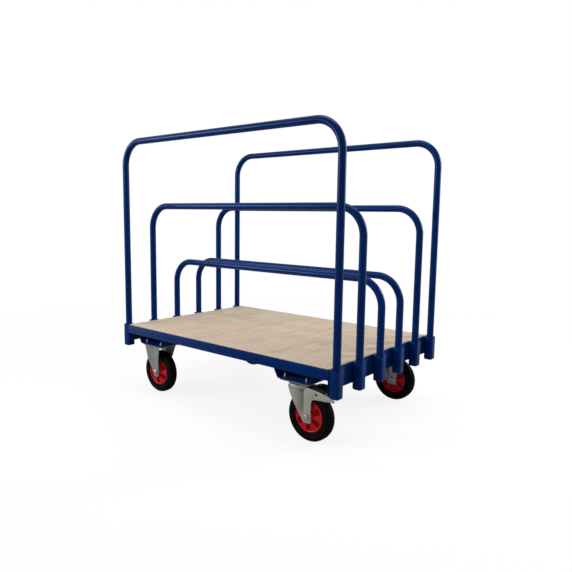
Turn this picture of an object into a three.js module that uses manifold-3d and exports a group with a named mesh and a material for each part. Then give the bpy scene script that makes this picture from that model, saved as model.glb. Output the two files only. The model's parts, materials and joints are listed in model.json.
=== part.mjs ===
// A cart for sheet goods: a steel chassis with a plywood deck, lift-out tube hoops in end sockets,
// two fixed castors at the left end and two swivel castors at the right end, the front one with a brake.
// Millimetres, +Z up. The origin is on the floor under the middle of the deck, the length runs along X,
// the front is towards -Y and the swivel castors are towards +X.
import * as THREE from "three";
import { mergeVertices } from "three/addons/utils/BufferGeometryUtils.js";
import Module from "manifold-3d";

const wasm = await Module();
wasm.setup();

// Chassis: angle-section rails, flat deck and box-section bearers
const frameLength = 1200;
const frameWidth = 800;
const sideRailHeight = 40;
const endRailHeight = 80;
const railLedge = 40;
const railWall = 4;
const endLedgeCutback = 70;
const deckThickness = 18;
const deckGap = 1;
const bearerCount = 3;
const bearerWidth = 50;
const bearerHeight = 20;
const bearerWall = 3;
const bearerEndGap = 10;
const bearerSideGap = 0.5;

// Hoops and the sockets that hold them
const hoopTube = 30;
const hoopWall = 2;
const hoopBend = 110;
const hoopHeights = { tall: 875, medium: 580, low: 297 };
const hoopOrder = ["tall", "medium", "low", "low", "medium", "tall"];
const hoopClearance = 1;
const socketWall = 4;
const socketCorner = 10;
const socketLength = 106;
const socketBase = 5;
const drainHole = 10;

// Channels that carry the castors
const channelDepth = 40;
const channelPlateMargin = 5;
const channelFlare = 22.5;
const channelWall = 4;
const channelEndInset = 12;

// Castor places, measured in from the chassis, and top plates
const rigidEndInset = 162;
const swivelEndInset = 173;
const castorSideInset = 71;
const castorHeadroom = 35;
const plateLength = 140;
const plateWidth = 110;
const plateThickness = 5;
const plateCorner = 10;
const boltEndEdge = 17.5;
const boltSideEdge = 15;
const boltHole = 11;

// Wheels
const wheelDiameter = 200;
const tyreWidth = 46;
const tyreShoulder = 12;
const tyreFlank = 3;
const rimDiameter = 128;
const rimWall = 8;
const rimWidth = 36;
const webThickness = 8;
const ribCount = 6;
const ribThickness = 8;
const ribWidth = 28;
const hubDiameter = 42;
const bearingDiameter = 25;
const bearingLength = 48;
const sleeveDiameter = 19;
const axleDiameter = 12;
const axleHex = 21;
const axleHeadHeight = 7.5;
const axleNutHeight = 10;
const axleThreadEnd = 3;

// Forks and brackets
const forkGap = 56;
const forkWall = 4;
const footToe = 18;
const footHeel = 23;
const footDrop = 22;
const footCorner = 7;
const bracketTopInset = 3;
const bracketTopLength = 104;
const bracketKneeRise = 40;
const trail = 48;
const crownDiameter = 100;
const crownClearance = 6;
const crownWall = 6;
const cupWall = 5;
const cupDepth = 10;
const raceDepth = 6;
const raceCupGap = 3;
const ballRingInset = 1;
const ballRingWidth = 14;
const kingPinDiameter = 16;
const kingPinHead = 28;
const kingPinHeadHeight = 6.4;

const noseDepth = 10;
const tailInset = 6;
const tailRise = 3;
const tailLean = 4;
const tailFoot = 70;

// Brake: the pedal's hinge pin is placed round the axle, clear of the tyre
const brakePinAngle = THREE.MathUtils.degToRad(65.6);
const brakePinRise = 6.5;
const brakePinDiameter = 8;
const brakePinHead = 12;
const brakePinHeadHeight = 1.2;
const wingDepth = 31;
const wingReach = 82;
const wingTipBelowPin = 14;
const wingTipChamfer = 6;
const wingTipAbovePin = 2;
const wingTipSlope = 20;
const wingCurve = 55;
const wingFillet = 8;
const pedalToe = 37;
const pedalToeRise = 13;
const pedalHeel = 63;
const pedalHeelRise = 5.5;
const pedalHeelCurve = 30;
const pedalRise = 29;
const pedalWall = 7;
const skirtEnd = 50;
const skirtShoulder = 30;
const skirtShoulderRise = 20.5;
const skirtEndRise = 12.5;
const skirtNose = 20;
const skirtNoseRise = 23.5;
const earRadius = 8;
const earStart = 21;
const earReach = 37;
const earDrop = 24;
const earWall = 3;
const earGap = 0.5;
const shoeStart = THREE.MathUtils.degToRad(42);
const shoeEnd = THREE.MathUtils.degToRad(51);
const shoeThickness = 5;
const shoeGap = 1.6;

// Fits
const seatGap = 0.3;
const hubSideGap = 0.8;

// Facets
const wheelSides = 24;
const roundSides = 16;
const drillSides = 10;
const tubeSides = 10;
const bendSteps = 4;
const cornerSteps = 2;
const curveSteps = 5;
const shoulderSteps = 2;

// Sizes that follow from those above
const rigidCastorX = rigidEndInset - frameLength / 2;
const swivelCastorX = frameLength / 2 - swivelEndInset;
const castorY = frameWidth / 2 - castorSideInset;
const boltX = plateLength / 2 - boltEndEdge;
const boltY = plateWidth / 2 - boltSideEdge;
const wheelRadius = wheelDiameter / 2;
const castorHeight = wheelDiameter + castorHeadroom;
const plateBottom = castorHeight - plateThickness;
const railBottom = castorHeight + channelDepth;
const railTop = railBottom + sideRailHeight;
const ledgeTop = railBottom + railWall;
const deckBottom = ledgeTop + bearerHeight;
const socketBore = hoopTube + 2 * hoopClearance;
const socketSize = socketBore + 2 * socketWall;
const socketBottom = railTop - socketLength;
const legX = (frameLength + socketSize) / 2;
const legPitch = (frameWidth - socketSize) / (hoopOrder.length - 1);
const legY = (row) => (row - (hoopOrder.length - 1) / 2) * legPitch;
const forkOuter = forkGap / 2 + forkWall;
const axle = new THREE.Vector2(trail, wheelRadius);
const crownBottom = wheelDiameter + crownClearance;
const crownTop = crownBottom + crownWall;
const raceBottom = plateBottom - raceDepth;
const raceRadius = crownDiameter / 2 - cupWall - raceCupGap;
const brakePin = new THREE.Vector2(wheelRadius + brakePinRise, 0)
  .rotateAround(new THREE.Vector2(), brakePinAngle)
  .add(axle);
const earOuter = forkGap / 2 - earGap;

// Finishes: one material for each mesh, made from the same few recipes
const finishes = {
  paint: { color: 0x0c2f72, roughness: 0.35, metalness: 0.2 },
  plywood: { color: 0xc3b29b, roughness: 0.75, metalness: 0 },
  zinc: { color: 0xb4b8b4, roughness: 0.4, metalness: 0.9 },
  steel: { color: 0x8d9196, roughness: 0.35, metalness: 1 },
  plastic: { color: 0xa80f18, roughness: 0.45, metalness: 0 },
  rubber: { color: 0x161616, roughness: 0.8, metalness: 0 },
  pedal: { color: 0x14161a, roughness: 0.55, metalness: 0 },
};

function piece(name, geometry, finish) {
  const mesh = new THREE.Mesh(geometry, new THREE.MeshStandardMaterial(finishes[finish]));
  mesh.name = name;
  return mesh;
}

// Solids: joining, cutting and the overlap of closed geometries
function solidOf(geometry) {
  const bare = geometry.clone();
  bare.deleteAttribute("normal");
  bare.deleteAttribute("uv");
  const merged = mergeVertices(bare, 1e-4);
  return new wasm.Manifold(
    new wasm.Mesh({
      numProp: 3,
      vertProperties: merged.attributes.position.array,
      triVerts: new Uint32Array(merged.index.array),
    }),
  );
}

function geometryOf(solid) {
  const mesh = solid.getMesh();
  return new THREE.BufferGeometry()
    .setAttribute("position", new THREE.BufferAttribute(mesh.vertProperties, mesh.numProp))
    .setIndex(new THREE.BufferAttribute(mesh.triVerts, 1));
}

function join(...geometries) {
  return geometryOf(geometries.map(solidOf).reduce((a, b) => a.add(b)));
}

function cut(geometry, ...tools) {
  return geometryOf(tools.map(solidOf).reduce((a, b) => a.subtract(b), solidOf(geometry)));
}

function common(a, b) {
  return geometryOf(solidOf(a).intersect(solidOf(b)));
}

// Extrusions of an outline along each axis, between two stations
function extrude(shape, depth, curveSegments) {
  return new THREE.ExtrudeGeometry(shape, { depth, bevelEnabled: false, curveSegments });
}

function alongX(outlineYZ, start, end, curveSegments = cornerSteps) {
  const turn = new THREE.Matrix4().makeBasis(
    new THREE.Vector3(0, 1, 0),
    new THREE.Vector3(0, 0, 1),
    new THREE.Vector3(1, 0, 0),
  );
  return extrude(outlineYZ, end - start, curveSegments).applyMatrix4(turn).translate(start, 0, 0);
}

function alongY(outlineXZ, start, end, curveSegments = cornerSteps) {
  const turn = new THREE.Matrix4().makeBasis(
    new THREE.Vector3(1, 0, 0),
    new THREE.Vector3(0, 0, 1),
    new THREE.Vector3(0, -1, 0),
  );
  return extrude(outlineXZ, end - start, curveSegments).applyMatrix4(turn).translate(0, end, 0);
}

function alongZ(outlineXY, start, end, curveSegments = cornerSteps) {
  return extrude(outlineXY, end - start, curveSegments).translate(0, 0, start);
}

// Round rods and turned profiles about the Y axis or the Z axis
function rodY(radius, start, end, sides = roundSides) {
  return new THREE.CylinderGeometry(radius, radius, end - start, sides).translate(0, (start + end) / 2, 0);
}

function rodZ(radius, start, end, sides = roundSides) {
  return rodY(radius, start, end, sides).rotateX(Math.PI / 2);
}

function closedProfile(points) {
  return [...points, points[0]].map(([radius, height]) => new THREE.Vector2(radius, height));
}

function turnedZ(points) {
  return new THREE.LatheGeometry(closedProfile(points), roundSides).rotateX(Math.PI / 2);
}

// A wheel's profile is turned so that its flats, not its corners, have the stated radius
function turnedWheel(points, sides = wheelSides) {
  const flatToCorner = 1 / Math.cos(Math.PI / sides);
  const phase = Math.PI / sides;
  return new THREE.LatheGeometry(closedProfile(points), sides, phase).scale(flatToCorner, 1, flatToCorner);
}

// Outlines
function polygon(points) {
  return new THREE.Shape(points.map(([x, y]) => new THREE.Vector2(x, y)));
}

function rectangle(width, height, Outline = THREE.Shape) {
  const x = width / 2;
  const y = height / 2;
  return new Outline([[-x, -y], [x, -y], [x, y], [-x, y]].map(([u, v]) => new THREE.Vector2(u, v)));
}

function roundedRectangle(width, height, corner) {
  const x = width / 2 - corner;
  const y = height / 2 - corner;
  const outline = new THREE.Shape();
  outline.absarc(x, y, corner, 0, Math.PI / 2);
  outline.absarc(-x, y, corner, Math.PI / 2, Math.PI);
  outline.absarc(-x, -y, corner, Math.PI, 1.5 * Math.PI);
  outline.absarc(x, -y, corner, 1.5 * Math.PI, 2 * Math.PI);
  outline.closePath();
  return outline;
}

function circle(radius, Outline = THREE.Path) {
  return new Outline().absarc(0, 0, radius, 0, 2 * Math.PI);
}

// A round hole whose flats, not its corners, have the stated radius
function hole(x, y, radius) {
  const corner = radius / Math.cos(Math.PI / (2 * curveSteps));
  return new THREE.Path().absarc(x, y, corner, 0, 2 * Math.PI);
}

// A flat strip's section, from its corner at 0
function stripSection(width, height) {
  return polygon([[0, 0], [width, 0], [width, height], [0, height]]);
}

// An angle section: outer face at 0, ledge inwards at the bottom
function angleSection(height) {
  return polygon([
    [0, 0],
    [railLedge, 0],
    [railLedge, railWall],
    [railWall, railWall],
    [railWall, height],
    [0, height],
  ]);
}

// Chassis
function sideRails() {
  const half = frameLength / 2 - railWall;
  return ["front_rail", "rear_rail"].map((name, side) => {
    const rail = piece(name, alongX(angleSection(sideRailHeight), -half, half), "paint");
    rail.position.set(0, (side - 0.5) * frameWidth, railBottom);
    rail.rotation.z = side * Math.PI;
    return rail;
  });
}

// The end rails' ledges stop short of the corners, which leaves a foot room at the castors
function endRails() {
  const half = frameWidth / 2;
  const ledgeHalf = half - endLedgeCutback;
  const web = alongX(stripSection(railWall, endRailHeight), -half, half);
  const ledge = alongX(stripSection(railLedge, railWall), -ledgeHalf, ledgeHalf);
  const shape = join(web, ledge);
  return ["left_end_rail", "right_end_rail"].map((name, side) => {
    const rail = piece(name, shape.clone(), "paint");
    rail.position.set((side - 0.5) * frameLength, 0, railTop - endRailHeight);
    rail.rotation.z = (side - 0.5) * Math.PI;
    return rail;
  });
}

function bearers() {
  const half = frameWidth / 2 - railWall - bearerSideGap;
  const outermost = frameLength / 2 - railWall - bearerEndGap - bearerWidth / 2;
  return Array.from({ length: bearerCount }, (_, place) => {
    const section = rectangle(bearerWidth, bearerHeight);
    section.holes.push(rectangle(bearerWidth - 2 * bearerWall, bearerHeight - 2 * bearerWall, THREE.Path));
    const bearer = piece(`cross_bearer_${place + 1}`, alongY(section, -half, half), "paint");
    const share = (2 * place) / (bearerCount - 1) - 1;
    bearer.position.set(share * outermost, 0, ledgeTop + bearerHeight / 2);
    return bearer;
  });
}

function deck() {
  const board = new THREE.BoxGeometry(
    frameLength - 2 * (railWall + deckGap),
    frameWidth - 2 * (railWall + deckGap),
    deckThickness,
  );
  const mesh = piece("deck_board", board, "plywood");
  mesh.position.z = deckBottom + deckThickness / 2;
  return mesh;
}

function boltHoles() {
  return [-boltX, boltX].flatMap((x) => [-boltY, boltY].map((y) => [x, y]));
}

function castorChannel(name, x) {
  const half = frameWidth / 2 - channelEndInset;
  const slope = channelFlare / channelDepth;
  const slopedWall = channelWall * Math.hypot(1, slope);
  const halfAt = (height) => plateLength / 2 + channelPlateMargin + slope * height;
  const outer = [[halfAt(channelDepth), channelDepth], [halfAt(0), 0]];
  const inner = [
    [halfAt(channelWall) - slopedWall, channelWall],
    [halfAt(channelDepth) - slopedWall, channelDepth],
  ];
  const mirrored = (points) => points.map(([across, up]) => [-across, up]).reverse();
  const section = polygon([...mirrored(outer), ...mirrored(inner), ...inner, ...outer].reverse());
  const drill = rodZ(boltHole / 2, -channelWall, 2 * channelWall, drillSides);
  const drills = [-castorY, castorY].flatMap((y) =>
    boltHoles().map(([dx, dy]) => drill.clone().translate(dx, y + dy, 0)),
  );
  const channel = piece(name, cut(alongY(section, -half, half), ...drills), "paint");
  channel.position.set(x, 0, castorHeight);
  return channel;
}

// Sockets and hoops
function sockets() {
  const block = alongZ(roundedRectangle(socketSize, socketSize, socketCorner), 0, socketLength);
  const bore = alongZ(rectangle(socketBore, socketBore), socketBase, 2 * socketLength);
  const drain = rodZ(drainHole / 2, -socketBase, 2 * socketBase, drillSides);
  const shape = cut(block, bore, drain);
  return ["left", "right"].flatMap((end, side) =>
    hoopOrder.map((size, row) => {
      const socket = piece(`${end}_socket_${row + 1}`, shape.clone(), "paint");
      socket.position.set((2 * side - 1) * legX, legY(row), socketBottom);
      return socket;
    }),
  );
}

// The hoop's centreline, with its stations only where the tube starts, bends and ends
class HoopPath extends THREE.Curve {
  constructor(foot, top) {
    super();
    const corner = (x, from) =>
      Array.from({ length: bendSteps + 1 }, (_, step) => {
        const angle = from - (step / bendSteps) * (Math.PI / 2);
        const out = new THREE.Vector3(Math.cos(angle), 0, Math.sin(angle));
        const point = out.clone().multiplyScalar(hoopBend).add(new THREE.Vector3(x, 0, top - hoopBend));
        return { point, tangent: new THREE.Vector3(out.z, 0, -out.x) };
      });
    const up = new THREE.Vector3(0, 0, 1);
    this.stations = [
      { point: new THREE.Vector3(-legX, 0, foot), tangent: up },
      ...corner(hoopBend - legX, Math.PI),
      ...corner(legX - hoopBend, Math.PI / 2),
      { point: new THREE.Vector3(legX, 0, foot), tangent: up.clone().negate() },
    ];
    this.steps = this.stations.length - 1;
  }

  getPointAt(share) {
    return this.stations[Math.round(share * this.steps)].point.clone();
  }

  getTangentAt(share) {
    return this.stations[Math.round(share * this.steps)].tangent.clone();
  }
}

function hoops() {
  const section = circle(hoopTube / 2, THREE.Shape);
  section.holes.push(circle(hoopTube / 2 - hoopWall));
  return hoopOrder.map((size, row) => {
    const path = new HoopPath(socketBottom + socketBase + seatGap, railTop + hoopHeights[size]);
    const tube = new THREE.ExtrudeGeometry(section, {
      steps: path.steps,
      extrudePath: path,
      curveSegments: tubeSides / 2,
    });
    const hoop = piece(`hoop_${row + 1}_${size}`, tube, "paint");
    hoop.position.y = legY(row);
    return hoop;
  });
}

// Wheel, bearing and axle, centred on the axle at the middle of the fork
function wheelCentre() {
  const hub = hubDiameter / 2;
  const bore = bearingDiameter / 2 + seatGap;
  const hubEnd = forkGap / 2 - hubSideGap;
  const rim = rimDiameter / 2;
  const inside = rim - rimWall;
  const web = webThickness / 2;
  const rimEnd = rimWidth / 2;
  const half = [
    [inside, rimEnd],
    [inside, web],
    [hub, web],
    [hub, hubEnd],
    [bore, hubEnd],
  ];
  const mirrored = half.map(([radius, along]) => [radius, -along]).reverse();
  const turned = turnedWheel([[rim, rimEnd], ...half, ...mirrored, [rim, -rimEnd]]);
  const reach = (inside - hub) / 2 + rimWall / 2;
  const ribs = Array.from({ length: ribCount }, (_, rib) =>
    new THREE.BoxGeometry(2 * reach, ribWidth, ribThickness)
      .translate((inside + hub) / 2, 0, 0)
      .rotateY((rib * 2 * Math.PI) / ribCount),
  );
  return join(turned, ...ribs);
}

function tyre() {
  const bead = rimDiameter / 2 + seatGap;
  const half = tyreWidth / 2;
  const shoulder = Array.from({ length: shoulderSteps + 1 }, (_, step) => {
    const angle = (step / shoulderSteps) * (Math.PI / 2);
    return [
      wheelRadius - tyreShoulder * (1 - Math.sin(angle)),
      half - tyreShoulder * (1 - Math.cos(angle)),
    ];
  });
  const side = [[bead, half - tyreFlank], ...shoulder];
  const mirrored = side.map(([radius, along]) => [radius, -along]).reverse();
  return turnedWheel([...side, ...mirrored].reverse());
}

function rollerBearing() {
  const bore = axleDiameter / 2 + seatGap;
  const sleeve = sleeveDiameter / 2;
  const cage = bearingDiameter / 2;
  const sleeveEnd = forkGap / 2 - seatGap;
  const cageEnd = bearingLength / 2;
  const half = [
    [cage, cageEnd],
    [sleeve, cageEnd],
    [sleeve, sleeveEnd],
    [bore, sleeveEnd],
  ];
  const mirrored = half.map(([radius, along]) => [radius, -along]).reverse();
  return turnedWheel([...half, ...mirrored], roundSides);
}

function axleBolt() {
  const seat = forkOuter + seatGap;
  const hex = axleHex / Math.sqrt(3);
  return join(
    rodY(axleDiameter / 2, -seat - axleHeadHeight / 2, seat + axleNutHeight + axleThreadEnd),
    rodY(hex, -seat - axleHeadHeight, -seat, 6),
    rodY(hex, seat, seat + axleNutHeight, 6),
  );
}

function wheelPieces(castor, x) {
  const pieces = [
    piece(`${castor}_axle_bolt`, axleBolt(), "zinc"),
    piece(`${castor}_roller_bearing`, rollerBearing(), "steel"),
    piece(`${castor}_wheel_centre`, wheelCentre(), "plastic"),
    piece(`${castor}_tyre`, tyre(), "rubber"),
  ];
  pieces.forEach((mesh) => mesh.position.set(x, 0, wheelRadius));
  return pieces;
}

// Castor plate outline with its four bolt holes
function plateOutline() {
  const plate = roundedRectangle(plateLength, plateWidth, plateCorner);
  boltHoles().forEach(([x, y]) => plate.holes.push(hole(x, y, boltHole / 2)));
  return plate;
}

// The blunt foot of a leg round its axle, drawn from the leading edge to the trailing edge
function addFoot(outline, x) {
  const sole = wheelRadius - footDrop;
  outline.lineTo(x - footToe - footCorner, sole + 2 * footCorner);
  outline.quadraticCurveTo(x - footToe, sole, x - footToe + footCorner, sole);
  outline.absarc(x + footHeel - footCorner, sole + footCorner, footCorner, 1.5 * Math.PI, 2 * Math.PI);
}

// A fixed castor's bracket: one folded sheet, its legs leaning in to the hub
function rigidBracket() {
  const foot = wheelRadius - footDrop;
  const knee = wheelRadius + bracketKneeRise;
  const top = plateWidth / 2 - bracketTopInset;
  const outer = [
    [top, plateBottom],
    [forkOuter, knee],
    [forkOuter, foot],
  ];
  const inner = [
    [forkGap / 2, foot],
    [forkGap / 2, knee],
    [top - forkWall, plateBottom],
  ];
  const half = [[plateWidth / 2, castorHeight], [plateWidth / 2, plateBottom], ...outer, ...inner];
  const mirrored = half.map(([across, up]) => [-across, up]).reverse();
  const fold = polygon([...half, ...mirrored].reverse());
  const legs = new THREE.Shape();
  legs.moveTo(-plateLength / 2, castorHeight);
  legs.lineTo(-plateLength / 2, plateBottom);
  legs.lineTo(-bracketTopLength / 2, plateBottom);
  addFoot(legs, 0);
  legs.lineTo(bracketTopLength / 2, plateBottom);
  legs.lineTo(plateLength / 2, plateBottom);
  legs.lineTo(plateLength / 2, castorHeight);
  const sheet = common(
    alongX(fold, -plateLength / 2, plateLength / 2),
    alongY(legs, -plateWidth / 2, plateWidth / 2, curveSteps),
  );
  const drill = rodZ(boltHole / 2, plateBottom - plateThickness, castorHeight + plateThickness, drillSides);
  const drills = boltHoles().map(([x, y]) => drill.clone().translate(x, y, 0));
  const axleHole = rodY(axleDiameter / 2 + seatGap, -plateWidth, plateWidth).translate(0, 0, wheelRadius);
  return cut(sheet, axleHole, ...drills);
}

// A swivel castor's top plate, with the upper race under it
function swivelPlate() {
  const race = rodZ(raceRadius, raceBottom, plateBottom + plateThickness / 2);
  const bore = rodZ(kingPinDiameter / 2 + seatGap, 0, 2 * castorHeight);
  return cut(join(alongZ(plateOutline(), plateBottom, castorHeight, curveSteps), race), bore);
}

function kingPin() {
  const top = castorHeight - seatGap;
  const headTop = crownBottom - seatGap;
  const headBottom = headTop - kingPinHeadHeight;
  return turnedZ([
    [0, headBottom],
    [kingPinHead / 2, headBottom],
    [kingPinHead / 2, headTop],
    [kingPinDiameter / 2, headTop],
    [kingPinDiameter / 2, top],
    [0, top],
  ]);
}

function ballRing() {
  const bottom = crownTop + seatGap;
  const top = raceBottom - seatGap;
  const bevel = (top - bottom) / 4;
  const outer = raceRadius - ballRingInset;
  const inner = outer - ballRingWidth;
  return turnedZ([
    [inner, bottom],
    [outer - bevel, bottom],
    [outer, bottom + bevel],
    [outer, top - bevel],
    [outer - bevel, top],
    [inner, top],
  ]);
}

// A braked fork's wing, which trails over the wheel and carries the pedal's hinge pin
function addWing(side) {
  const heel = axle.x + footHeel;
  const wingBottom = brakePin.y - wingDepth;
  const tip = brakePin.x + wingReach;
  side.absarc(heel + wingFillet, wingBottom - wingFillet, wingFillet, Math.PI, Math.PI / 2, true);
  side.lineTo(tip, brakePin.y - wingTipBelowPin);
  side.lineTo(tip, brakePin.y - wingTipBelowPin + wingTipChamfer);
  side.lineTo(tip - wingTipSlope, brakePin.y + wingTipAbovePin);
  side.holes.push(hole(brakePin.x, brakePin.y, brakePinDiameter / 2 + seatGap));
}

// The fork's side: slanted leading edge, rounded foot, and a wing or a plain trailing edge
function forkSide(braked) {
  const nose = -crownDiameter / 2;
  const tail = crownDiameter / 2 - tailInset;
  const side = new THREE.Shape();
  side.moveTo(nose, crownTop);
  side.lineTo(nose, crownTop - noseDepth);
  addFoot(side, axle.x);
  if (braked) {
    addWing(side);
    side.quadraticCurveTo(crownDiameter / 2 + wingCurve, crownTop, tail, crownTop + tailRise);
  } else {
    const back = axle.x + footHeel + tailLean;
    side.lineTo(back, wheelRadius + tailFoot);
    side.quadraticCurveTo(back, crownTop, tail, crownTop + tailRise);
  }
  side.lineTo(tail, crownTop);
  side.holes.push(hole(axle.x, axle.y, axleDiameter / 2 + seatGap));
  return side;
}

function swivelFork(braked) {
  const crown = crownDiameter / 2;
  const cup = crown - cupWall;
  const bore = kingPinDiameter / 2 + seatGap;
  const crownRing = turnedZ([
    [bore, crownBottom],
    [crown, crownBottom],
    [crown, crownTop + cupDepth],
    [cup, crownTop + cupDepth],
    [cup, crownTop],
    [bore, crownTop],
  ]);
  const outline = forkSide(braked);
  const sides = [-forkOuter, forkGap / 2].map((y) => alongY(outline, y, y + forkWall, curveSteps));
  return join(crownRing, ...sides);
}

// Brake: an arched pedal with side skirts, a shoe between the skirts, a hinge pin through the wings
function brakePedal() {
  const skirt = new THREE.Shape();
  skirt.moveTo(pedalWall / 2 - pedalToe, pedalToeRise);
  skirt.absarc(0, 0, earRadius, Math.PI, 1.5 * Math.PI);
  skirt.lineTo(earStart, -earDrop);
  skirt.lineTo(earReach, -earDrop);
  skirt.lineTo(skirtEnd, 0);
  skirt.lineTo(skirtEnd, skirtEndRise);
  skirt.lineTo(skirtShoulder, skirtShoulderRise);
  skirt.lineTo(0, pedalRise - pedalWall / 2);
  skirt.lineTo(-skirtNose, skirtNoseRise);
  skirt.holes.push(hole(0, 0, brakePinDiameter / 2 + seatGap));
  const under = pedalRise - pedalWall;
  const arch = new THREE.Shape();
  arch.moveTo(-pedalToe, pedalToeRise);
  arch.quadraticCurveTo(-pedalToe, pedalRise, 0, pedalRise);
  arch.quadraticCurveTo(pedalHeelCurve, pedalRise, pedalHeel, pedalHeelRise + pedalWall / 2);
  arch.lineTo(pedalHeel, pedalHeelRise - pedalWall / 2);
  arch.quadraticCurveTo(pedalHeelCurve, under, 0, under);
  arch.quadraticCurveTo(pedalWall - pedalToe, under, pedalWall - pedalToe, pedalToeRise);
  const skirts = [-earOuter, earOuter - earWall].map((y) => alongY(skirt, y, y + earWall, curveSteps));
  return join(alongY(arch, -earOuter, earOuter, curveSteps), ...skirts).translate(brakePin.x, 0, brakePin.y);
}

function brakeShoe() {
  const inner = wheelRadius + shoeGap;
  const half = earOuter - earWall - seatGap;
  const pad = new THREE.Shape();
  pad.absarc(axle.x, axle.y, inner + shoeThickness, shoeStart, shoeEnd);
  pad.absarc(axle.x, axle.y, inner, shoeEnd, shoeStart, true);
  return alongY(pad, -half, half);
}

function brakeHingePin() {
  const seat = forkOuter + seatGap;
  const head = seat + brakePinHeadHeight;
  return join(
    rodY(brakePinDiameter / 2, -seat, seat),
    rodY(brakePinHead / 2, -head, -seat),
    rodY(brakePinHead / 2, seat, head),
  ).translate(brakePin.x, 0, brakePin.y);
}

// Castors, each a group at its own place
function rigidCastor(castor, y) {
  const group = new THREE.Group();
  group.add(piece(`${castor}_bracket`, rigidBracket(), "zinc"));
  group.add(...wheelPieces(castor, 0));
  group.position.set(rigidCastorX, y, 0);
  return group;
}

function brakePieces(castor) {
  return [
    piece(`${castor}_brake_pedal`, brakePedal(), "pedal"),
    piece(`${castor}_brake_shoe`, brakeShoe(), "steel"),
    piece(`${castor}_brake_pin`, brakeHingePin(), "pedal"),
  ];
}

function swivelCastor(castor, y, braked) {
  const group = new THREE.Group();
  group.add(
    piece(`${castor}_top_plate`, swivelPlate(), "zinc"),
    piece(`${castor}_king_pin`, kingPin(), "steel"),
    piece(`${castor}_ball_ring`, ballRing(), "steel"),
    piece(`${castor}_fork`, swivelFork(braked), "zinc"),
    ...(braked ? brakePieces(castor) : []),
    ...wheelPieces(castor, trail),
  );
  group.position.set(swivelCastorX, y, 0);
  return group;
}

const cart = new THREE.Group();
cart.add(
  ...sideRails(),
  ...endRails(),
  ...bearers(),
  deck(),
  castorChannel("left_castor_channel", rigidCastorX),
  castorChannel("right_castor_channel", swivelCastorX),
  ...sockets(),
  ...hoops(),
  rigidCastor("front_rigid", -castorY),
  rigidCastor("rear_rigid", castorY),
  swivelCastor("front_swivel", -castorY, true),
  swivelCastor("rear_swivel", castorY, false),
);

export default cart;
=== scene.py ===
import json
import math

import bmesh
import bpy
from mathutils import Matrix, Vector


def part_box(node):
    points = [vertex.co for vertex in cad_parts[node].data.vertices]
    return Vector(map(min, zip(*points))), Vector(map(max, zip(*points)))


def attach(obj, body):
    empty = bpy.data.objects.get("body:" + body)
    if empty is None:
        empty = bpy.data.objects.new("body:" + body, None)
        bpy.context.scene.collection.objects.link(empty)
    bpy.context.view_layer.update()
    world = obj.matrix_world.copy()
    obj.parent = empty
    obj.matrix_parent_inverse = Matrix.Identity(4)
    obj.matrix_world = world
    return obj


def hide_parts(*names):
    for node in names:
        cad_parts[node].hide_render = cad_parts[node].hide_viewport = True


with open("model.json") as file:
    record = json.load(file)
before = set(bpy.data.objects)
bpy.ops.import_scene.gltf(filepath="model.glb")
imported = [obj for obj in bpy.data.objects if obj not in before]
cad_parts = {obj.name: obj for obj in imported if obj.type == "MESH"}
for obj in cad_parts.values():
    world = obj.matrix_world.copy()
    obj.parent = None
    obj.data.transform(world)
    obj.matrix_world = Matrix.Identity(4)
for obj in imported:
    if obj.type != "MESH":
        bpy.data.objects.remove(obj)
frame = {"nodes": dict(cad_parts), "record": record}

bl_info = {
    "name": "Sheet Goods Cart",
    "version": (1, 0, 0),
    "blender": (4, 5, 0),
    "location": "View3D > Sidebar > Cart",
    "description": "Builds the finished surfaces of a board cart on its CAD frame",
    "category": "Object",
}

MM = 0.001
FULL_TURN = 2 * math.pi
QUARTER_TURN = math.pi / 2
ALONG_X = Vector((1, 0, 0))
ALONG_Y = Vector((0, 1, 0))
ALONG_Z = Vector((0, 0, 1))
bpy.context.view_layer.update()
BODY_OF = {
    node: body
    for body, nodes in frame["record"]["behaviour"]["bodies"].items()
    for node in nodes
}
SOCKETS = [f"{end}_socket_{row}" for end in ("left", "right") for row in range(1, 7)]
HOOPS = sorted(node for node in BODY_OF if node.startswith("hoop_"))
RIGIDS = ("front_rigid", "rear_rigid")
SWIVELS = ("front_swivel", "rear_swivel")
CASTORS = RIGIDS + SWIVELS
BRAKED = "front_swivel"

# How close counts as parallel, as facing a way, and as one vertex
PARALLEL = 0.99
FACING = 0.9
MERGE_DISTANCE = 1e-6

# Angles in degrees: edges below the first look smooth, edges above the others are eased
SMOOTH_ANGLE = 35
EASE_ANGLE = 40
SHEET_ANGLE = 50

# Sizes that several castor pieces share, in metres
PLATE_LENGTH = 0.140
PLATE_WIDTH = 0.110
PLATE_CORNER = 0.010
PLATE_WALL = 0.005
SHEET_EASE = 0.0008
SOLE_DROP = 0.022
FORK_FACE = 0.032
FORK_WALL = 0.004
FORK_TOP = 0.2115
FORK_CREASE = 0.014
FORK_HEEL = 0.0195
PLAIN_FORK_HEEL = 0.023

# Half profiles of the turned pieces: radius and distance from the middle, in millimetres
TYRE_SIDE = [
    (64.3, 17.5), (65.2, 19.4), (68.0, 20.4), (76.0, 21.3), (80.6, 21.6), (81.6, 22.5), (84.0, 22.5),
    (85.0, 21.8), (89.0, 21.4), (92.6, 20.2), (95.8, 18.0), (98.0, 15.2), (99.0, 13.2),
]
TYRE_RADIUS = 100
WHEEL_CENTRE_HALF = [
    (63.9, 16.4), (63.2, 17.6), (61.6, 18.2), (59.6, 18.0), (57.8, 17.0), (56.8, 15.0), (55.4, 6.4),
    (53.4, 4.0), (25.0, 4.0), (22.8, 6.2), (21.2, 25.4), (19.8, 27.0), (13.0, 27.0),
]
HINGE_PIN_HALF = [(0.0, 33.3), (3.2, 33.2), (4.6, 32.8), (4.9, 32.1), (4.0, 32.0)]

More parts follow.
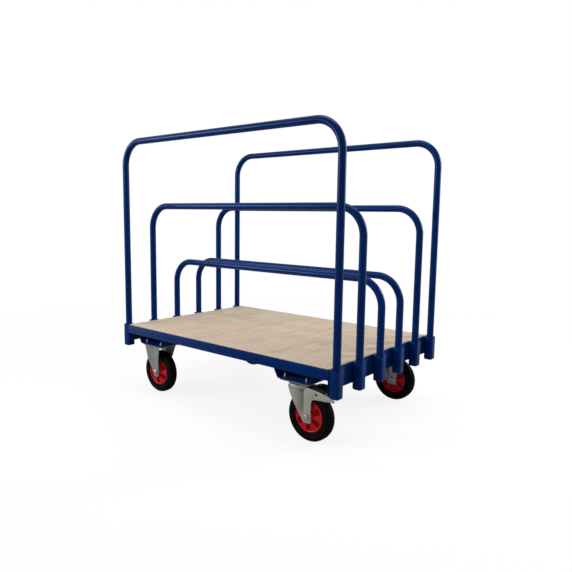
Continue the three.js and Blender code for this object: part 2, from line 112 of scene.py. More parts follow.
# The fork's crown: radius and height, in millimetres
CROWN = [
    (8.4, 206.0), (44.0, 206.0), (47.6, 206.8), (49.4, 208.6), (50.0, 211.0), (50.0, 221.0),
    (49.2, 222.0), (45.6, 222.0), (45.0, 221.4), (45.0, 212.6), (44.4, 212.0), (8.4, 212.0),
]

# The pedal's side plates: places from the hinge pin, in millimetres
PEDAL_SKIRT = [
    (-33.5, 13), (-8, 0), (-5.6, -5.6), (0, -8), (21, -23), (37, -23), (50, 0), (50, 12.5),
    (30, 20.5), (0, 25.5), (-20, 23.5),
]


def length_property(name, description, default):
    return bpy.props.FloatProperty(
        name=name, description=description, default=default, min=0.0, unit="LENGTH", precision=4
    )


def count_property(name, description, default, least):
    return bpy.props.IntProperty(name=name, description=description, default=default, min=least)


def colour_property(name, description, default):
    return bpy.props.FloatVectorProperty(
        name=name, description=description, default=default, size=3, min=0.0, max=1.0, subtype="COLOR"
    )


class CartSizes(bpy.types.PropertyGroup):
    rail_wall: length_property("Rail wall", "Thickness of the rails", 0.004)
    ledge_cutback: length_property("Ledge cutback", "Gap from an end rail's ledge to a corner", 0.070)
    fold_radius: length_property("Fold radius", "Outer corner radius of a rail's section", 0.0012)
    edge_radius: length_property("Edge radius", "Rounding of cut sheet edges", 0.0008)
    tube_diameter: length_property("Tube diameter", "Outside diameter of a hoop's tube", 0.030)
    tube_wall: length_property("Tube wall", "Wall of a hoop's tube", 0.002)
    bend_radius: length_property("Bend radius", "Radius of a hoop's bends at the tube's axis", 0.110)
    tube_sides: count_property("Tube sides", "Sides of a hoop's round section", 28, 8)
    socket_corner: length_property("Socket corner", "Corner radius of the socket's square tube", 0.010)
    socket_foot: length_property("Socket foot", "Rounding round the socket's closed foot", 0.007)
    socket_wall: length_property("Socket wall", "Wall of the socket", 0.004)
    socket_base: length_property("Socket base", "Thickness of the socket's base", 0.005)
    spoke_count: count_property("Spokes", "Webs between the hub and the rim", 6, 3)
    groove_depth: length_property("Groove depth", "Depth of the tread's grooves", 0.0025)
    bolt_flats: length_property("Bolt flats", "Width across the flats of a castor bolt", 0.011)
    bolt_thread: length_property("Bolt thread", "Thread diameter of a castor bolt", 0.0065)
    flute_depth: length_property("Flute depth", "Depth of the flute in a fixed castor's leg", 0.008)
    scoop_depth: length_property("Scoop depth", "Depth of the scoop in a swivel fork's leg", 0.0055)


class CartColours(bpy.types.PropertyGroup):
    paint: colour_property("Paint", "Powder coat on the steelwork", (0.0, 0.0165, 0.106))
    plywood: colour_property("Plywood", "Pale tone of the deck", (0.525, 0.428, 0.324))
    plywood_grain: colour_property("Grain", "Dark tone of the deck's grain", (0.33, 0.252, 0.182))
    # The swivel forks and the castor plates share one zinc plating; the second, darker zinc colour is
    # painted shade.
    zinc: colour_property("Zinc", "Bright plating of the swivel forks", (0.375, 0.375, 0.345))
    dull_zinc: colour_property("Dull zinc", "Zinc plating darkened as painted shade, for the castor plates", (0.238, 0.272, 0.258))
    steel: colour_property("Steel", "Bare bearings and bolts", (0.50, 0.51, 0.52))
    plastic: colour_property("Wheel centre", "Moulded wheel centre", (0.45, 0.005, 0.012))
    rubber: colour_property("Tyre", "Rubber of the tyres", (0.002, 0.002, 0.0022))
    pedal: colour_property("Pedal", "Coating of the brake pedal", (0.004, 0.0055, 0.008))
    floor: colour_property("Floor", "Studio floor", (0.42, 0.42, 0.42))


# Selecting and drawing, as by hand


def deselect():
    if bpy.context.mode != "OBJECT":
        bpy.ops.object.mode_set(mode="OBJECT")
    bpy.ops.object.select_all(action="DESELECT")


def hold(piece):
    deselect()
    piece.select_set(True)
    bpy.context.view_layer.objects.active = piece


def edit(piece):
    hold(piece)
    bpy.ops.object.mode_set(mode="EDIT")
    bpy.ops.mesh.select_mode(type="VERT")


def select_whole():
    bpy.ops.mesh.select_all(action="SELECT")


def edit_whole(piece):
    edit(piece)
    select_whole()


def settled():
    """The object just added, with its place, turn and scale put into its mesh."""
    bpy.ops.object.transform_apply(location=True, rotation=True, scale=True)
    return bpy.context.object


def grab(piece, test, kind="edges"):
    """Selects the vertices, edges or faces that pass the test."""
    bpy.ops.mesh.select_mode(type={"verts": "VERT", "edges": "EDGE", "faces": "FACE"}[kind])
    bpy.ops.mesh.select_all(action="DESELECT")
    mesh = bmesh.from_edit_mesh(piece.data)
    for item in getattr(mesh, kind):
        if test(item):
            item.select = True
    mesh.select_flush_mode()
    bmesh.update_edit_mesh(piece.data)


def middle(edge):
    return (edge.verts[0].co + edge.verts[1].co) / 2


def runs_along(edge, axis):
    return abs((edge.verts[1].co - edge.verts[0].co).normalized().dot(axis)) > PARALLEL


def extrude(shift):
    bpy.ops.mesh.extrude_region_move(TRANSFORM_OT_translate={"value": shift})


def merge_doubles():
    select_whole()
    bpy.ops.mesh.remove_doubles(threshold=MERGE_DISTANCE)


def tidy_mesh():
    merge_doubles()
    bpy.ops.mesh.normals_make_consistent(inside=False)


def chain(points):
    """A closed line of edges, drawn by extruding one vertex from point to point. Left in edit mode."""
    deselect()
    bpy.ops.mesh.primitive_plane_add(size=MM, location=points[0])
    piece = settled()
    edit_whole(piece)
    bpy.ops.mesh.merge(type="CENTER")
    for here, there in zip(points, [*points[1:], points[0]]):
        extrude(Vector(there) - Vector(here))
    merge_doubles()
    return piece


def prism(outline, along):
    """A flat outline filled and extruded. Left in edit mode."""
    piece = chain(outline)
    bpy.ops.mesh.edge_face_add()
    extrude(along)
    tidy_mesh()
    return piece


def turned(profile, centre, axis, steps):
    """A closed profile of (radius, along) pairs, spun a full turn about Y or Z. Left in edit mode."""
    piece = chain([centre + ALONG_X * radius + axis * along for radius, along in profile])
    bpy.ops.mesh.spin(steps=steps, angle=FULL_TURN, center=centre, axis=axis)
    tidy_mesh()
    return piece


def in_metres(profile):
    return [(radius * MM, along * MM) for radius, along in profile]


def both_halves(half):
    """A half profile in millimetres with its mirror image, in metres."""
    return in_metres(half + [(radius, -along) for radius, along in reversed(half)])


def rounded_block(place, length, width, corner, depth):
    """A rectangle with rounded corners, drawn upwards from its place. Left in edit mode."""
    deselect()
    bpy.ops.mesh.primitive_plane_add(size=1, location=place)
    bpy.context.object.scale = (length, width, 1)
    block = settled()
    edit_whole(block)
    bpy.ops.mesh.bevel(offset=corner, segments=6, affect="VERTICES")
    select_whole()
    extrude(ALONG_Z * depth)
    tidy_mesh()
    return block


def pressed(surface, columns, rows):
    """A sheet grid pressed into shape: surface gives the place of each share across and down."""
    deselect()
    bpy.ops.mesh.primitive_grid_add(x_subdivisions=columns, y_subdivisions=rows, size=1)
    piece = bpy.context.object
    for vertex in piece.data.vertices:
        vertex.co = surface(vertex.co.x + 0.5, 0.5 - vertex.co.y)
    return piece


def apply_modifier(piece, kind, **settings):
    hold(piece)
    bpy.ops.object.modifier_add(type=kind)
    modifier = piece.modifiers[-1]
    for key, value in settings.items():
        setattr(modifier, key, value)
    bpy.ops.object.modifier_apply(modifier=modifier.name)


def soften(piece, width, segments=2, angle=EASE_ANGLE):
    apply_modifier(
        piece, "BEVEL", width=width, segments=segments, limit_method="ANGLE", angle_limit=math.radians(angle)
    )


def thicken(piece, wall):
    apply_modifier(piece, "SOLIDIFY", thickness=wall, offset=-1.0, use_even_offset=True)


def wall_sheet(sheet, side, wall):
    """Gives a pressed side sheet its wall, inwards from its outer face."""
    edit_whole(sheet)
    bpy.ops.mesh.normals_make_consistent(inside=False)
    bpy.ops.object.mode_set(mode="OBJECT")
    facing = sum(face.normal.y * face.area for face in sheet.data.polygons)
    if facing * side < 0:
        edit_whole(sheet)
        bpy.ops.mesh.flip_normals()
    thicken(sheet, wall)
    soften(sheet, SHEET_EASE, angle=SHEET_ANGLE)
    return sheet


def round_edges(piece, test, radius, segments=4):
    edit(piece)
    grab(piece, test)
    bpy.ops.mesh.bevel(offset=radius, segments=segments, affect="EDGES")


def join(pieces):
    deselect()
    for piece in pieces:
        piece.select_set(True)
    bpy.context.view_layer.objects.active = pieces[0]
    bpy.ops.object.join()
    return pieces[0]


def copy_of(piece, shift):
    """A copy with its own mesh, moved and left at the origin."""
    hold(piece)
    bpy.ops.object.duplicate(linked=False)
    bpy.ops.transform.translate(value=shift)
    return settled()


def middle_of(node):
    low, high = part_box(node)
    return (low + high) / 2


def at(stations, height):
    """Straight-line reading of a list of (height, value) pairs that runs downwards."""
    for (upper, first), (lower, second) in zip(stations, stations[1:]):
        if height >= lower:
            share = (upper - height) / (upper - lower) if upper > lower else 0.0
            return first + (second - first) * max(0.0, share)
    return stations[-1][1]


def curve(first, control, last, steps=8):
    """Points on a quadratic curve."""
    points = []
    for step in range(steps + 1):
        share = step / steps
        points.append(
            tuple(
                (1 - share) ** 2 * a + 2 * share * (1 - share) * b + share**2 * c
                for a, b, c in zip(first, control, last)
            )
        )
    return points


def dress(piece, name, finish, angle=SMOOTH_ANGLE):
    """Smooths a piece and gives it its name and finish."""
    hold(piece)
    bpy.ops.object.shade_smooth_by_angle(angle=math.radians(angle))
    piece.name = name
    piece.data.name = name
    piece.data.materials.clear()
    piece.data.materials.append(finish)


def stand_for(piece, node, finish, angle=SMOOTH_ANGLE):
    """Finishes a piece and lets it stand for a CAD node."""
    dress(piece, f"made_{node}", finish, angle)
    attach(piece, BODY_OF[node])
    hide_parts(node)


def repeat(piece, first, nodes, finish, angle=SMOOTH_ANGLE):
    """One piece, made at the first node, is copied to the like nodes."""
    others = [(node, copy_of(piece, middle_of(node) - middle_of(first))) for node in nodes if node != first]
    stand_for(piece, first, finish, angle)
    for node, twin in others:
        stand_for(twin, node, finish, angle)


def keep(node, finish):
    """A CAD node whose shape is right keeps it and takes a better finish."""
    node_object = frame["nodes"][node]
    node_object.data.materials.clear()
    node_object.data.materials.append(finish)


# Finishes

# Sockets of the Mix node when it mixes colours
MIX_SHARE = 0
MIX_FIRST = 6
MIX_SECOND = 7
MIX_RESULT = 2

# The range that most of a noise texture's values lie in
NOISE_LOW = 0.3
NOISE_HIGH = 0.7
WHITE = (1.0, 1.0, 1.0, 1.0)


class Wire:
    """A shader socket that can be used in sums."""

    def __init__(self, finish, socket):
        self.finish = finish
        self.socket = socket

    def __add__(self, other):
        return self.finish.maths("ADD", self, other)

    def __radd__(self, other):
        return self.finish.maths("ADD", other, self)

    def __sub__(self, other):
        return self.finish.maths("SUBTRACT", self, other)

    def __rsub__(self, other):
        return self.finish.maths("SUBTRACT", other, self)

    def __mul__(self, other):
        return self.finish.maths("MULTIPLY", self, other)

    def __rmul__(self, other):
        return self.finish.maths("MULTIPLY", other, self)

    def __gt__(self, other):
        return self.finish.maths("GREATER_THAN", self, other)


class Nodes:
    """A node tree that grows by one call for each node."""

    def __init__(self, tree):
        self.tree = tree

    def node(self, kind, settings, inputs, output=0):
        made = self.tree.nodes.new(kind)
        for key, value in settings.items():
            setattr(made, key, value)
        for key, value in inputs.items():
            self.feed(made.inputs[key], value)
        return Wire(self, made.outputs[output])

    def feed(self, socket, value):
        if isinstance(value, Wire):
            self.tree.links.new(value.socket, socket)
        else:
            socket.default_value = value

    def maths(self, operation, *values):
        return self.node("ShaderNodeMath", {"operation": operation}, dict(enumerate(values)))

    def between(self, value, low, high, out_low=0.0, out_high=1.0):
        return self.node(
            "ShaderNodeMapRange",
            {"clamp": True},
            {"Value": value, "From Min": low, "From Max": high, "To Min": out_low, "To Max": out_high},
        )

    def ray(self, kind):
        return self.node("ShaderNodeLightPath", {}, {}, f"Is {kind} Ray")

    def seen(self):
        """One on rays from the camera, a reflection or a clear piece."""
        either = self.maths("MAXIMUM", self.ray("Camera"), self.ray("Glossy"))
        return self.maths("MAXIMUM", either, self.ray("Transmission"))


class Finish(Nodes):
    """A procedural material on Object coordinates."""

    def __init__(self, name):
        self.material = bpy.data.materials.new(name)
        self.material.use_nodes = True
        super().__init__(self.material.node_tree)
        self.shader = self.tree.nodes["Principled BSDF"]
        self.place = self.node("ShaderNodeTexCoord", {}, {}, "Object")

    def part(self, vector, axis):
        return self.node("ShaderNodeSeparateXYZ", {}, {"Vector": vector}, axis)

    def noise(self, scale, detail=3.0, roughness=0.5, place=None, output=0):
        return self.node(
            "ShaderNodeTexNoise",
            {},
            {"Vector": place or self.place, "Scale": scale, "Detail": detail, "Roughness": roughness},
            output,
        )

    def drawn_out(self, scale, place=None, detail=3.0, roughness=0.6):
        """A noise with its own scale along each axis."""
        stretched = self.node("ShaderNodeMapping", {}, {"Vector": place or self.place, "Scale": scale})
        return self.noise(1.0, detail, roughness, stretched)

    def spread(self, noise, low=0.0, high=1.0):
        """A noise's usual range, spread from low to high."""
        return self.between(noise, NOISE_LOW, NOISE_HIGH, low, high)

    def mix(self, share, first, second):
        """Mixes two colours, each a wire or a red, green and blue."""
        ends = [end if isinstance(end, Wire) else (*end, 1.0) for end in (first, second)]
        return self.node(
            "ShaderNodeMix",
            {"data_type": "RGBA"},
            {MIX_SHARE: share, MIX_FIRST: ends[0], MIX_SECOND: ends[1]},
            MIX_RESULT,
        )

    def shades(self, share, colour, dark, light):
        """A colour that runs from a darker to a lighter shade of itself."""
        return self.mix(share, scaled(colour, dark), scaled(colour, light))

    def bump(self, height, strength, distance):
        normal = self.node(
            "ShaderNodeBump", {}, {"Strength": strength, "Distance": distance, "Height": height}
        )
        self.feed(self.shader.inputs["Normal"], normal)

    def set(self, **values):
        for key, value in values.items():
            self.feed(self.shader.inputs[key.replace("_", " ").title().replace("Ior", "IOR")], value)


def scaled(colour, factor):
    return tuple(min(1.0, part * factor) for part in colour)


def paint_finish(colours):
    finish = Finish("dark_blue_powder_coat")
    drift = finish.noise(scale=7.0, detail=2.0)
    sheen = finish.noise(scale=60.0)
    peel = finish.noise(scale=620.0, detail=2.0)
    finish.set(
        base_color=finish.shades(finish.spread(drift), colours.paint, dark=0.88, light=1.12),
        roughness=finish.spread(sheen, low=0.25, high=0.3),
        ior=1.28,
        specular_ior_level=0.4,
        specular_tint=(0.3, 0.5, 1.0, 1.0),
    )
    finish.bump(peel, strength=0.008, distance=0.0002)
    return finish.material


def plywood_finish(colours):
    """Wavy figure on the faces and thin plies on the cut edges."""
    ply = 0.002
    veneer = 0.0013
    waviness = 0.18
    finish = Finish("plywood_face")
    swirl = finish.noise(scale=2.7, detail=2.0, output="Color")
    drift = finish.node("ShaderNodeVectorMath", {"operation": "SCALE"}, {0: swirl, "Scale": waviness})
    wavy = finish.node("ShaderNodeVectorMath", {"operation": "ADD"}, {0: finish.place, 1: drift})
    blotch = finish.drawn_out((6.0, 3.0, 6.0))
    wide = finish.drawn_out((15.0, 2.0, 15.0), wavy, roughness=0.55)
    streak = finish.drawn_out((55.0, 4.0, 55.0), wavy, detail=4.0, roughness=0.65)
    fibre = finish.drawn_out((260.0, 14.0, 260.0), wavy)
    pore = finish.drawn_out((900.0, 40.0, 900.0), detail=2.0, roughness=0.5)
    line = finish.drawn_out((80.0, 2.4, 80.0), wavy)
    patchy = finish.between(blotch, low=0.38, high=0.62, out_low=0.25)
    figure = finish.between(streak, low=0.5, high=0.74) * patchy
    grain = (
        0.1 * finish.between(wide, low=0.36, high=0.7)
        + 0.55 * figure
        + 0.2 * fibre
        + 0.14 * blotch
        + 0.32 * finish.between(line, low=0.57, high=0.7)
    )
    darkness = finish.between(grain, low=0.12, high=0.72)
    face = finish.mix(darkness, colours.plywood, colours.plywood_grain)
    height = finish.part(finish.place, "Z")
    plies = finish.spread(finish.maths("PINGPONG", height, ply) * (1 / ply))
    core = finish.mix(plies, colours.plywood, scaled(colours.plywood_grain, 0.7))
    low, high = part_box("deck_board")
    from_middle = finish.maths("ABSOLUTE", height - (low.z + high.z) / 2)
    on_face = from_middle > (high.z - low.z) / 2 - veneer
    finish.set(
        base_color=finish.mix(on_face, core, face),
        roughness=finish.spread(streak, low=0.52, high=0.68),
        specular_ior_level=0.35,
    )
    finish.bump(0.7 * pore + 0.3 * streak, strength=0.25, distance=0.0005)
    return finish.material


def zinc_finish(name, plate, scoop_shade=None):
    """Plated steel, its base colour darkened as painted shade where a shade share is given."""
    tone_low, tone_high = 0.25, 0.75
    finish = Finish(name)
    cloud = finish.noise(scale=38.0, detail=4.0, roughness=0.6)
    spangle = finish.node("ShaderNodeTexVoronoi", {}, {"Vector": finish.place, "Scale": 260.0}, "Color")
    scratch = finish.drawn_out((1500.0, 1500.0, 90.0))
    tone = 0.6 * cloud + 0.25 * finish.part(spangle, "X") + 0.15 * scratch
    warm = (plate[0] * 1.1, plate[1] * 1.08, plate[2])
    bright = finish.mix(finish.between(tone, tone_low, tone_high), scaled(plate, 0.8), warm)
    # Painted shade: where the share is high, the plating is mixed towards 22 % of its colour.
    if scoop_shade:
        bright = finish.mix(scoop_shade(finish), bright, scaled(plate, 0.22))
    finish.set(
        base_color=bright,
        metallic=0.35,
        roughness=finish.between(tone, tone_low, tone_high, out_low=0.38, out_high=0.52),
    )
    finish.bump(0.6 * scratch + 0.4 * cloud, strength=0.06, distance=0.0004)
    return finish.material


def fork_zinc_finish(colours):
    """Zinc with painted shade darkening the scoop of a swivel fork's leg."""
    axle = middle_of(f"{BRAKED}_wheel_centre")
    crease = axle.x - FORK_CREASE
    crown_foot = 0.2055
    shade_strength = 0.8

    # Painted shade: a dark band in the scoop next to the crease, below the crown, fading out downwards
    # towards the axle.
    def scoop_shade(finish):
        along = finish.part(finish.place, "X")
        up = finish.part(finish.place, "Z")
        valley = finish.between(along, crease - 0.052, crease - 0.010) * (1 - (along > crease))
        below_crown = 1 - (up > crown_foot)
        return shade_strength * valley * below_crown * finish.between(up, axle.z - 0.006, axle.z + 0.03)

    return zinc_finish("fork_zinc_plate", colours.zinc, scoop_shade)


# Painted shade: the same zinc plating in a darker colour, for the fixed brackets and the swivel top plates.
def shaded_zinc_finish(colours):
    return zinc_finish("dull_zinc_plate", colours.dull_zinc)


def steel_finish(colours):
    finish = Finish("bright_steel")
    cloud = finish.noise(scale=120.0, detail=4.0, roughness=0.6)
    scratch = finish.drawn_out((900.0, 900.0, 900.0))
    finish.set(
        base_color=finish.shades(finish.spread(cloud), colours.steel, dark=0.8, light=1.1),
        metallic=1.0,
        roughness=finish.spread(scratch, low=0.18, high=0.34),
    )
    finish.bump(scratch, strength=0.05, distance=0.0003)
    return finish.material


def plastic_finish(colours):
    finish = Finish("red_moulded_plastic")
    cloud = finish.noise(scale=45.0)
    skin = finish.noise(scale=1400.0, detail=2.0)
    finish.set(
        base_color=finish.shades(finish.spread(cloud), colours.plastic, dark=0.86, light=1.1),
        roughness=finish.spread(cloud, low=0.28, high=0.38),
        specular_ior_level=0.25,
    )
    finish.bump(skin, strength=0.05, distance=0.0003)
    return finish.material


def rubber_finish(colours):
    finish = Finish("black_rubber")
    cloud = finish.noise(scale=55.0, detail=4.0, roughness=0.6)
    skin = finish.noise(scale=1100.0, detail=2.0)
    finish.set(
        base_color=finish.shades(
            finish.between(cloud, low=0.35, high=0.75), colours.rubber, dark=0.8, light=1.5
        ),
        roughness=finish.spread(cloud, low=0.4, high=0.52),
        specular_ior_level=0.05,
    )
    finish.bump(skin + 0.5 * cloud, strength=0.1, distance=0.0004)
    return finish.material


def pedal_finish(colours):
    finish = Finish("black_pedal_coat")
    cloud = finish.noise(scale=70.0)
    skin = finish.noise(scale=900.0, detail=2.0)
    finish.set(
        base_color=finish.shades(finish.spread(cloud), colours.pedal, dark=0.8, light=1.3),
        roughness=finish.spread(cloud, low=0.26, high=0.36),
        specular_ior_level=0.15,
    )
    finish.bump(skin, strength=0.06, distance=0.0003)
    return finish.material


FINISH_MAKERS = {
    "paint": paint_finish,
    "plywood": plywood_finish,
    "fork zinc": fork_zinc_finish,
    "dull zinc": shaded_zinc_finish,
    "steel": steel_finish,
    "plastic": plastic_finish,
    "rubber": rubber_finish,
    "pedal": pedal_finish,
}
made_finishes = {}


def finish_for(kind):
    if kind not in made_finishes:
        made_finishes[kind] = FINISH_MAKERS[kind](bpy.context.scene.cart_colours)
    return made_finishes[kind]


# Pieces


class CART_OT_rails(bpy.types.Operator):
    """Folds the four chassis rails from sheet and finishes the bearers between them"""

    bl_idname = "cart.rails"
    bl_label = "Rails and Bearers"

    def execute(self, context):
        sizes = context.scene.cart_sizes
        paint = finish_for("paint")
        for node, inward in (("front_rail", 1), ("rear_rail", -1)):
            stand_for(self.side_rail(node, inward, sizes), node, paint)
        for node, inward in (("left_end_rail", 1), ("right_end_rail", -1)):
            stand_for(self.end_rail(node, inward, sizes), node, paint)
        for number in (1, 2, 3):
            keep(f"cross_bearer_{number}", paint)
        return {"FINISHED"}

    def side_rail(self, node, inward, sizes):
        low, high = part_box(node)
        outer, inner = (low.y, high.y) if inward > 0 else (high.y, low.y)
        face = outer + inward * sizes.rail_wall
        shelf = low.z + sizes.rail_wall
        ledge = [(outer, low.z), (inner, low.z), (inner, shelf)]
        web = [(face, shelf), (face, high.z), (outer, high.z)]
        rail = prism([(low.x, y, z) for y, z in ledge + web], ALONG_X * (high.x - low.x))
        self.round_fold(rail, Vector((0, outer, low.z)), ALONG_X, sizes)
        return rail

    def end_rail(self, node, inward, sizes):
        """A full-length web, with a ledge drawn out of its foot between the corners."""
        low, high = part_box(node)
        outer, inner = (low.x, high.x) if inward > 0 else (high.x, low.x)
        face = outer + inward * sizes.rail_wall
        shelf = low + ALONG_Z * sizes.rail_wall
        section = [(outer, low.z), (face, low.z), (face, high.z), (outer, high.z)]
        rail = prism([(x, low.y, z) for x, z in section], ALONG_Y * (high.y - low.y))
        stop = ALONG_Y * sizes.ledge_cutback
        for place, normal in ((low + stop, ALONG_Y), (high - stop, ALONG_Y), (shelf, ALONG_Z)):
            select_whole()
            bpy.ops.mesh.bisect(plane_co=place, plane_no=normal)

        def at_foot(item):
            spot = item.calc_center_median()
            between = low.y + stop.y < spot.y < high.y - stop.y
            return between and spot.z < shelf.z and item.normal.x * inward > FACING

        grab(rail, at_foot, "faces")
        extrude(ALONG_X * (inner - face))
        tidy_mesh()
        self.round_fold(rail, Vector((outer, 0, low.z)), ALONG_Y, sizes)
        return rail

    def round_fold(self, rail, corner, axis, sizes):
        def on_fold(edge):
            offset = middle(edge) - corner
            return runs_along(edge, axis) and (offset - axis * offset.dot(axis)).length < MM

        round_edges(rail, on_fold, sizes.fold_radius)
        soften(rail, sizes.edge_radius)


class CART_OT_deck(bpy.types.Operator):
    """Cuts the plywood deck and eases its edges"""

    bl_idname = "cart.deck"
    bl_label = "Deck"

    def execute(self, context):
        low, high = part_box("deck_board")
        corners = ((low.x, low.y), (high.x, low.y), (high.x, high.y), (low.x, high.y))
        deck = prism([(x, y, low.z) for x, y in corners], ALONG_Z * (high.z - low.z))
        soften(deck, width=0.0012, segments=3)
        stand_for(deck, "deck_board", finish_for("plywood"))
        return {"FINISHED"}


class CART_OT_channels(bpy.types.Operator):
    """Folds the two trough channels that carry the castors"""

    bl_idname = "cart.channels"
    bl_label = "Castor Channels"

    def execute(self, context):
        sizes = context.scene.cart_sizes
        nodes = ["left_castor_channel", "right_castor_channel"]
        low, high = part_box(nodes[0])
        wall = 0.004
        flare = 0.0225
        outer_radius = 0.006
        inner_radius = 0.003
        slope = flare / (high.z - low.z)
        sloped_wall = wall * math.hypot(1, slope)
        centre = (low.x + high.x) / 2
        top = (high.x - low.x) / 2
        foot = top - flare
        inner_foot = foot + slope * wall - sloped_wall
        floor = low.z + wall
        right = [(foot, low.z), (top, high.z), (top - sloped_wall, high.z), (inner_foot, floor)]
        left = [(-across, up) for across, up in reversed(right)]
        channel = prism(
            [(centre + across, low.y, up) for across, up in right + left], ALONG_Y * (high.y - low.y)
        )

        def fold_at(level):
            return lambda edge: runs_along(edge, ALONG_Y) and abs(middle(edge).z - level) < MM / 5

        round_edges(channel, fold_at(low.z), outer_radius)
        round_edges(channel, fold_at(floor), inner_radius, segments=3)
        soften(channel, sizes.edge_radius)
        repeat(channel, nodes[0], nodes, finish_for("paint"))
        return {"FINISHED"}


class CART_OT_sockets(bpy.types.Operator):
    """Makes one hoop socket with a closed, rounded foot and copies it along both ends"""

    bl_idname = "cart.sockets"
    bl_label = "Hoop Sockets"

    def execute(self, context):
        sizes = context.scene.cart_sizes
        first = SOCKETS[0]
        low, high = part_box(first)
        place = Vector(((low.x + high.x) / 2, (low.y + high.y) / 2, low.z))
        side = high.x - low.x
        depth = high.z - low.z
        socket = rounded_block(place, side, side, sizes.socket_corner, depth)
        grab(socket, lambda face: abs(face.calc_center_median().z - high.z) < MM / 10, "faces")
        bpy.ops.mesh.inset(thickness=sizes.socket_wall, depth=0)
        extrude(ALONG_Z * (sizes.socket_base - depth))
        tidy_mesh()

        def on_foot(edge):
            return max(corner.co.z for corner in edge.verts) < low.z + MM / 10

        round_edges(socket, on_foot, sizes.socket_foot)
        soften(socket, width=0.001, angle=SHEET_ANGLE)
        repeat(socket, first, SOCKETS, finish_for("paint"))
        return {"FINISHED"}


class CART_OT_hoops(bpy.types.Operator):
    """Bends the six lift-out hoops from round tube"""

    bl_idname = "cart.hoops"
    bl_label = "Hoops"

    def execute(self, context):
        sizes = context.scene.cart_sizes
        for node in HOOPS:
            stand_for(self.bent(node, sizes), node, finish_for("paint"), angle=60)
        return {"FINISHED"}

    def bent(self, node, sizes):
        low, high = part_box(node)
        socket_half = 0.02
        radius = sizes.tube_diameter / 2
        turn = sizes.bend_radius
        y = (low.y + high.y) / 2
        left = Vector((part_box(SOCKETS[0])[0].x + socket_half, y, low.z))
        right_x = -left.x
        bend_z = high.z - radius - turn
        deselect()
        bpy.ops.mesh.primitive_circle_add(
            vertices=sizes.tube_sides, radius=radius, fill_type="NOTHING", location=left
        )
        hoop = settled()
        edit_whole(hoop)
        quarter = {"steps": 14, "angle": -QUARTER_TURN, "axis": ALONG_Y}
        extrude(ALONG_Z * (bend_z - low.z))
        bpy.ops.mesh.spin(center=(left.x + turn, y, bend_z), **quarter)
        extrude(ALONG_X * (right_x - left.x - 2 * turn))
        bpy.ops.mesh.spin(center=(right_x - turn, y, bend_z), **quarter)
        extrude(ALONG_Z * (low.z - bend_z))
        tidy_mesh()
        thicken(hoop, sizes.tube_wall)
        return hoop


class CART_OT_wheels(bpy.types.Operator):
    """Turns the tyres and the spoked wheel centres and copies them to the four castors"""

    bl_idname = "cart.wheels"
    bl_label = "Wheels"

    def execute(self, context):
        sizes = context.scene.cart_sizes
        hub = middle_of(f"{CASTORS[0]}_wheel_centre")
        for name, make, finish in (("tyre", self.tyre, "rubber"), ("wheel_centre", self.centre, "plastic")):
            nodes = [f"{castor}_{name}" for castor in CASTORS]
            repeat(make(hub, sizes), nodes[0], nodes, finish_for(finish), angle=40)
        for castor in CASTORS:
            keep(f"{castor}_roller_bearing", finish_for("steel"))
        return {"FINISHED"}

    def tyre(self, hub, sizes):
        groove = TYRE_RADIUS - sizes.groove_depth / MM
        tread = [(groove, 12.6), (groove, 10.6), (99.6, 10.0), (99.9, 6.0)]
        tread += [(groove, 5.4), (groove, 3.4), (TYRE_RADIUS, 2.8)]
        return turned(both_halves(TYRE_SIDE + tread), hub, ALONG_Y, steps=96)

    def centre(self, hub, sizes):
        rim = turned(both_halves(WHEEL_CENTRE_HALF), hub, ALONG_Y, steps=72)
        return join([rim, self.spokes(hub, sizes)])

    def spokes(self, hub, sizes):
        """Webs that grow wider towards the rim and thicker towards the hub."""
        inner, outer = 0.019, 0.0572
        rim_thickness, rim_width = 0.028, 0.034
        hub_thickness, hub_width = 0.044, 0.009
        deselect()
        bpy.ops.mesh.primitive_cube_add(size=1, location=hub + ALONG_X * (inner + outer) / 2)
        bpy.context.object.scale = (outer - inner, rim_thickness, rim_width)
        spoke = settled()
        edit(spoke)
        grab(spoke, lambda vertex: vertex.co.x < hub.x + inner + MM, "verts")
        bpy.ops.transform.resize(
            value=(1, hub_thickness / rim_thickness, hub_width / rim_width),
            center_override=hub + ALONG_X * inner,
            orient_type="GLOBAL",
        )
        soften(spoke, width=0.0016, segments=3)
        edit_whole(spoke)
        bpy.ops.mesh.spin(steps=sizes.spoke_count, dupli=True, angle=FULL_TURN, center=hub, axis=ALONG_Y)
        tidy_mesh()
        return spoke


def hex_head(centre, axis, flats, low, high, crown):
    """A six-sided head from low to high along the axis, its outer end chamfered to a round crown."""
    deselect()
    bpy.ops.mesh.primitive_cylinder_add(
        vertices=6,
        radius=flats / math.sqrt(3),
        depth=abs(high - low),
        location=centre + axis * (low + high) / 2,
        rotation=ALONG_Z.rotation_difference(axis).to_euler(),
    )
    head = settled()
    edit(head)
    outward = axis * math.copysign(1.0, high - low)
    grab(head, lambda face: face.normal.dot(outward) > FACING, "faces")
    bpy.ops.mesh.inset(thickness=flats * 0.11, depth=crown)
    soften(head, width=flats * 0.035, angle=25)
    return head


def disc(centre, axis, inner, outer, low, high, ease, steps=40):
    """A washer or collar with eased edges."""
    profile = [
        (inner, low),
        (outer - ease, low),
        (outer, low + ease),
        (outer, high - ease),
        (outer - ease, high),
        (inner, high),
    ]
    return turned(profile, centre, axis, steps)


def rod(centre, axis, radius, low, high, ease):
    """A round rod with chamfered ends."""
    return disc(centre, axis, 0.0, radius, low, high, ease, steps=32)


